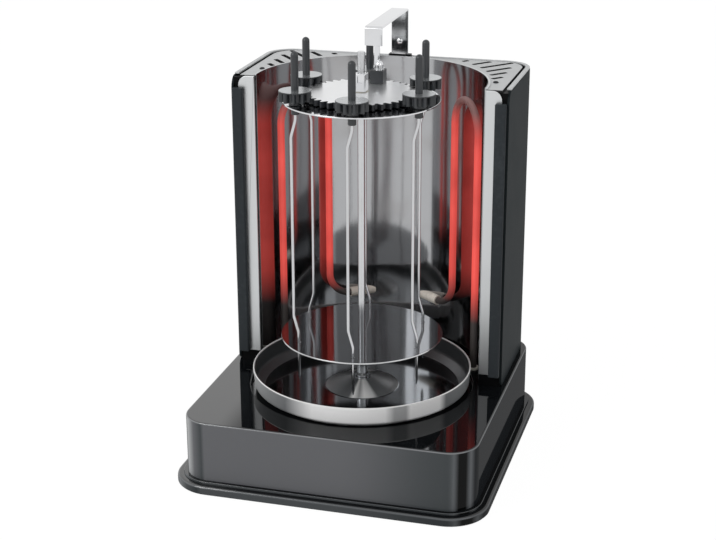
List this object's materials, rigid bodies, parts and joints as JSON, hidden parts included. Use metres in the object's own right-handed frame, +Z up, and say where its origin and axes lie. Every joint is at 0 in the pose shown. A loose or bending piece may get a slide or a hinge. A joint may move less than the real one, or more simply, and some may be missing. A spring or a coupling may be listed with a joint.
{
  "type": "electric skewer grill",
  "caption": "Tabletop electric grill that turns upright skewers in front of two heating tubes and a curved reflector, above a lift-out drip tray.",
  "frame": {"origin": "on the ground, at the middle of the plinth's footprint", "axes": "+Z up, -Y towards the open front, +X towards the user's right when facing the front"},
  "size_m": [0.3, 0.306, 0.41],
  "materials": {
    "gloss_black": "gloss",
    "foot_rubber": "matte",
    "zinc_steel": "satin",
    "dark_screw": "satin",
    "motor_can": "satin",
    "nylon": "satin",
    "case_paint": "gloss",
    "silver_trim": "satin",
    "bar_plastic": "satin",
    "frame_paint": "satin",
    "mirror_steel": "polished",
    "cover_grey": "satin",
    "tray_steel": "polished",
    "tube_red": "satin",
    "ceramic": "matte",
    "chrome": "polished",
    "rod_steel": "polished",
    "grip_plastic": "satin",
    "switch_plastic": "satin",
    "block_plastic": "matte",
    "cutout_metal": "satin"
  },
  "bodies": {
    "housing": {"base_screws": "zinc_steel", "base_shell": "gloss_black", "bracket_guide": "chrome", "cable_gland": "switch_plastic", "ceramic_bushes": "ceramic", "cover_screws": "dark_screw", "drive_bush": "nylon", "edge_bar_left": "bar_plastic", "edge_bar_right": "bar_plastic", "fascia_left": "silver_trim", "fascia_right": "silver_trim", "frame_left": "frame_paint", "frame_right": "frame_paint", "gear_motor": "motor_can", "heating_tube_left": "tube_red", "heating_tube_right": "tube_red", "lock_block": "grip_plastic", "lock_cap": "chrome", "motor_screws": "zinc_steel", "plinth": "gloss_black", "rear_case": "case_paint", "reflector": "mirror_steel", "rubber_feet": "foot_rubber", "sun_bearing": "nylon", "sun_gear": "chrome", "switch_frame": "switch_plastic", "terminal_block": "block_plastic", "thermal_cutout": "cutout_metal", "top_cover_left": "cover_grey", "top_cover_right": "cover_grey", "tube_blades": "zinc_steel"},
    "carousel": {"centre_shaft": "rod_steel", "shaft_sleeve": "grip_plastic", "lower_disc": "tray_steel", "carrier_disc": "chrome", "carrier_collar": "grip_plastic", "shaft_knob": "chrome", "drive_spigot": "chrome"},
    "skewer_1": {"skewer_rod_1": "rod_steel", "skewer_grip_1": "grip_plastic"},
    "skewer_2": {"skewer_rod_2": "rod_steel", "skewer_grip_2": "grip_plastic"},
    "skewer_3": {"skewer_rod_3": "rod_steel", "skewer_grip_3": "grip_plastic"},
    "skewer_4": {"skewer_rod_4": "rod_steel", "skewer_grip_4": "grip_plastic"},
    "skewer_5": {"skewer_rod_5": "rod_steel", "skewer_grip_5": "grip_plastic"},
    "skewer_6": {"skewer_rod_6": "rod_steel", "skewer_grip_6": "grip_plastic"},
    "bracket": {"hold_bracket": "chrome", "bracket_stud": "chrome"},
    "tray": {"drip_tray": "tray_steel"},
    "rocker": {"rocker_key": "switch_plastic"}
  },
  "joints": [
    {"name": "carousel_spin", "type": "hinge", "parent": "housing", "child": "carousel", "pos_m": [0, -0.008, 0.2], "axis": [0, 0, 1], "continuous": true},
    {"name": "skewer_spin_1", "type": "hinge", "parent": "carousel", "child": "skewer_1", "pos_m": [0.05087, 0.03246, 0.36], "axis": [0, 0, 1], "continuous": true},
    {"name": "skewer_spin_2", "type": "hinge", "parent": "carousel", "child": "skewer_2", "pos_m": [-0.00961, 0.05629, 0.36], "axis": [0, 0, 1], "continuous": true},
    {"name": "skewer_spin_3", "type": "hinge", "parent": "carousel", "child": "skewer_3", "pos_m": [-0.06048, 0.01582, 0.36], "axis": [0, 0, 1], "continuous": true},
    {"name": "skewer_spin_4", "type": "hinge", "parent": "carousel", "child": "skewer_4", "pos_m": [-0.05087, -0.04846, 0.36], "axis": [0, 0, 1], "continuous": true},
    {"name": "skewer_spin_5", "type": "hinge", "parent": "carousel", "child": "skewer_5", "pos_m": [0.00961, -0.07229, 0.36], "axis": [0, 0, 1], "continuous": true},
    {"name": "skewer_spin_6", "type": "hinge", "parent": "carousel", "child": "skewer_6", "pos_m": [0.06048, -0.03182, 0.36], "axis": [0, 0, 1], "continuous": true},
    {"name": "bracket_lift", "type": "slide", "parent": "housing", "child": "bracket", "axis": [0, 0, 1], "range_m": [0, 0.025]},
    {"name": "tray_lift", "type": "slide", "parent": "housing", "child": "tray", "axis": [0, 0, 1], "range_m": [0, 0.016]},
    {"name": "rocker_tilt", "type": "hinge", "parent": "housing", "child": "rocker", "pos_m": [-0.137, -0.06, 0.04], "axis": [0, 0, -1], "range_deg": [0, 16]}
  ],
  "couplings": [
    {"joint": "skewer_spin_1", "follows": "carousel_spin", "ratio": 4},
    {"joint": "skewer_spin_2", "follows": "carousel_spin", "ratio": 4},
    {"joint": "skewer_spin_3", "follows": "carousel_spin", "ratio": 4},
    {"joint": "skewer_spin_4", "follows": "carousel_spin", "ratio": 4},
    {"joint": "skewer_spin_5", "follows": "carousel_spin", "ratio": 4},
    {"joint": "skewer_spin_6", "follows": "carousel_spin", "ratio": 4}
  ]
}
